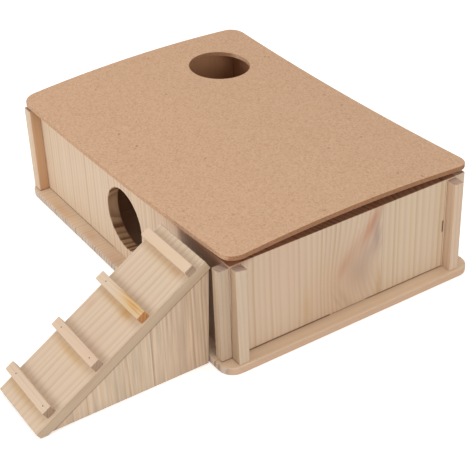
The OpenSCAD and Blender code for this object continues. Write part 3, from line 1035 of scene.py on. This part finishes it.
# How far below the board's edge the painted shadow line runs.
SHADOW_LINE_DROP = 2.3 * MM
for side, panel in ramp_panels.items():
    low, high = corners_of(f"ramp_panel_{side}")
    shadow_line_start = np.array([low[1], PANEL_TIP - SHADOW_LINE_DROP]) / MM
    shadow_line_end = np.array([high[1], high[2] - SHADOW_LINE_DROP]) / MM
    wear(panel, pine(f"{panel.name}_pine", grain="z", across="y", tone=0.94, lines=1.05, fibres=2.8,
                     sway=1.3, fuzz=0.65, seams=PANEL_SEAMS,
                     planks=[(-400, 120, 4.6, 0.20), (-360, 40, 4.8, -0.05), (-340, 200, 3.0, 0.15)],
                     # Painted shade at the panel's tall end, by the cabin.
                     spots=[((-122, 30), (20, 120), 0.0, srgb(182, 142, 114), 0.28)],
                     # A painted shadow line under the board's overhang, and a dark joint at a seam.
                     joints=[(shadow_line_start, shadow_line_end, 0.6, 0.5),
                             ((PANEL_SEAMS[1], 0), (PANEL_SEAMS[1], 60), 0.4, 0.4)]))
print("pine materials:", sum(m.name.endswith("pine") for m in bpy.data.materials))

# %% [markdown]
# ## Cork
#
# Pressed cork is a sheet of fine granules, each a slightly different brown, with a few dark bark specks.
# A Voronoi texture gives every granule a cell with a random value of its own. The edges are rougher, and
# all but the front edge, which faces the front lamp, are browner with painted shade.
# %% Cork
CORK = srgb(211, 171, 138)
CORK_DARK, DARK_SHARE = srgb(176, 130, 94), 0.32
CORK_LIGHT, LIGHT_SHARE = srgb(230, 196, 165), 0.28
# Painted shade on the lid's edges, less on the front edge, which faces the front lamp.
CORK_EDGE_SHADE, EDGE_SHADE_SHARE = srgb(152, 104, 70), 0.85
BARK, BARK_SHARE = srgb(120, 74, 44), 0.35
GRANULE = 1.2 * MM
CORK_CLOUD = 30
UNSHADED_FRONT = 0.8


def granules(place, size):
    """A random number for each granule, and the distance from its middle, in granule sizes."""
    tree = place["x"].tree
    scaled = new_node(tree, "CombineXYZ", {number: place[axis] / size for number, axis in enumerate("xyz")})
    cells = new_node(tree, "TexVoronoi", {"Vector": scaled, "Scale": 1.0}, "Color")
    return new_node(tree, "SeparateColor", {0: cells}), Field(cells.socket.node.outputs["Distance"])


def pressed_cork(name):
    """Cork: granules of three sizes, dark where a granule's number is low and light where it is high."""
    material, shader, place, facing = new_material(name)
    grain, middle = granules(place, GRANULE)
    crumb, _ = granules(place, GRANULE * 0.5)
    bark, _ = granules(place, GRANULE * 1.6)
    cloud = noise(*(place[axis] * CORK_CLOUD for axis in "xyz"), detail=3.0)
    colour = mix(CORK, CORK_DARK, rise(1.0 - grain, 0.55, 1.0) * DARK_SHARE)
    colour = mix(colour, CORK_LIGHT, rise(grain, 0.6, 1.0) * LIGHT_SHARE)
    colour = mix(colour, BARK, rise(bark, 0.996, 0.999) * BARK_SHARE)
    # Painted shade on the edges, all but the front one.
    side = 1.0 - rise(calc("ABSOLUTE", facing["z"]), 0.3, 0.8)
    lit_front = rise(facing["y"] * -1.0, 0.75, 0.97) * UNSHADED_FRONT
    colour = mix(colour, CORK_EDGE_SHADE, side * (1.0 - lit_front) * EDGE_SHADE_SHARE)
    light = (crumb - 0.5) * 0.08 + cloud * 0.04 + side * (crumb - 0.5) * 0.3 + 1.0
    feed(shader, {"Base Color": shade(colour, light), "Roughness": 0.85, "Specular IOR Level": 0.2})
    give_bump(shader, grain * 0.6 + crumb * 0.4 - middle * 0.5, 0.10 * MM)
    return material


wear(lid, pressed_cork("lid_cork"))
print("granule, mm:", GRANULE / MM)

# %% [markdown]
# ## Steel
#
# The ends of the brads are cut wire, dull and a little tarnished.
# %% Steel of the brads
TARNISH = 3000


def wire_steel(name):
    """Dull drawn wire: fine noise in the darkness and the roughness of the steel."""
    material, shader, place, _ = new_material(name)
    tarnish = noise(*(place[axis] * TARNISH for axis in "xyz"))
    colour = mix(srgb(90, 84, 78), srgb(140, 134, 128), tarnish + 0.5)
    feed(shader, {"Base Color": colour, "Metallic": 0.6, "Roughness": tarnish * 0.3 + 0.45})
    return material


steel = wire_steel("wire_steel")
for piece in (ramp_nails, base_nails, frame["nodes"]["corner_brads"]):
    wear(piece, steel)
print("pieces of steel:", steel.users)

# %% [markdown]
# ## Camera
#
# The camera was solved from the outlines of the house in the photograph: where the corners of the cabin,
# base and lid appear fixes its place, its direction and its lens.
# %% Camera
SENSOR = 36.0
PHOTO_PIXELS = 470
FOCAL_PIXELS = 1251.4
CAMERA_AT = np.array([730.5, -461.2, 556.5]) * MM
LOOK = np.array([-0.70857, 0.44602, -0.54679])
ROLL = -0.0398


def place_at(thing, right, up, back, place):
    """Puts a camera or a lamp, which both look away from their back, at a place in the scene."""
    pose = np.eye(4)
    pose[:3] = np.stack([right, up, back, place], axis=1)
    thing.matrix_world = Matrix(pose.tolist())
    bpy.context.scene.collection.objects.link(thing)


right = np.cross(LOOK, [0, 0, 1])
right /= np.linalg.norm(right)
up = np.cross(right, LOOK)
right, up = (math.cos(ROLL) * right + math.sin(ROLL) * up, math.cos(ROLL) * up - math.sin(ROLL) * right)
camera_data = bpy.data.cameras.new("camera")
camera_data.sensor_width = SENSOR
camera_data.lens = FOCAL_PIXELS / PHOTO_PIXELS * SENSOR
camera_data.clip_start = 0.01
camera = bpy.data.objects.new("camera", camera_data)
place_at(camera, right, up, -LOOK, CAMERA_AT)
bpy.context.scene.camera = camera
print("lens, mm:", round(camera_data.lens, 1))

# %% [markdown]
# ## Background
#
# The camera, and rays that a shiny or clear surface sends out, see pure white. Every other ray sees a
# plain grey dome, so the white background puts no extra light on the wood.
# %% World: a grey dome that looks white
DOME = 0.42


def seen_directly(tree):
    """1 for rays from the camera, a gloss or a clear surface, and 0 for rays that carry light."""
    seen = new_node(tree, "LightPath", {}, "Is Camera Ray")
    for ray in ("Is Glossy Ray", "Is Transmission Ray"):
        seen = calc("MAXIMUM", seen, new_node(tree, "LightPath", {}, ray))
    return seen


scene = bpy.context.scene
scene.view_settings.view_transform = "Standard"
world = bpy.data.worlds.new("studio")
world.use_nodes = True
scene.world = world
dome = world.node_tree.nodes["Background"]
feed(dome, {"Color": (1, 1, 1, 1), "Strength": seen_directly(world.node_tree) * (1.0 - DOME) + DOME})
print("world:", [node.bl_idname for node in world.node_tree.nodes][:3])

# %% [markdown]
# ## Floor
#
# A pale floor catches the soft shadow. For the camera it also glows a little, so that where no shadow
# falls it is as white as the background, and its edge can't be seen.
# %% Floor
FLOOR_REACH = 2.4
FLOOR_COLOUR = srgb(236, 235, 233)
FLOOR_GLOW = 0.52

square = FLOOR_REACH * np.array([[-1, -1, 0], [1, -1, 0], [1, 1, 0], [-1, 1, 0]])
floor = new_piece("floor", square, [(0, 1, 2, 3)])

floor_paint = bpy.data.materials.new("floor_paint")
floor_paint.use_nodes = True
feed(floor_paint.node_tree.nodes["Principled BSDF"],
     {"Base Color": FLOOR_COLOUR, "Roughness": 0.9, "Specular IOR Level": 0.1,
      "Emission Color": (1, 1, 1, 1),
      "Emission Strength": seen_directly(floor_paint.node_tree) * FLOOR_GLOW})
wear(floor, floor_paint)
print("floor, m:", 2 * FLOOR_REACH)

# %% [markdown]
# ## Lamps
#
# Three large square lamps stand for the windows of a studio: one low in front of the house, a smaller one
# at its right, and one overhead. The front one is the strongest, so the front wall is the brightest, and
# the right wall is a fifth darker.
# %% Lamps
def lamp(name, place, size, power):
    """A square area lamp at place, facing the house, its size in metres and its power in watts."""
    data = bpy.data.lights.new(name, "AREA")
    data.shape = "SQUARE"
    data.size = size
    data.energy = power
    thing = bpy.data.objects.new(name, data)
    back = np.array(place) / np.linalg.norm(place)
    side = np.cross([0, 0, 1], back)
    side /= np.linalg.norm(side)
    place_at(thing, side, np.cross(back, side), back, place)
    return thing


lamps = [lamp("key", (-0.3, -2.8, 1.05), 1.5, 33), lamp("fill", (2.6, -0.5, 1.0), 1.0, 20),
         lamp("top", (0.0, 0.2, 3.0), 1.6, 27)]
print("lamps, W:", [lamp.data.energy for lamp in lamps])
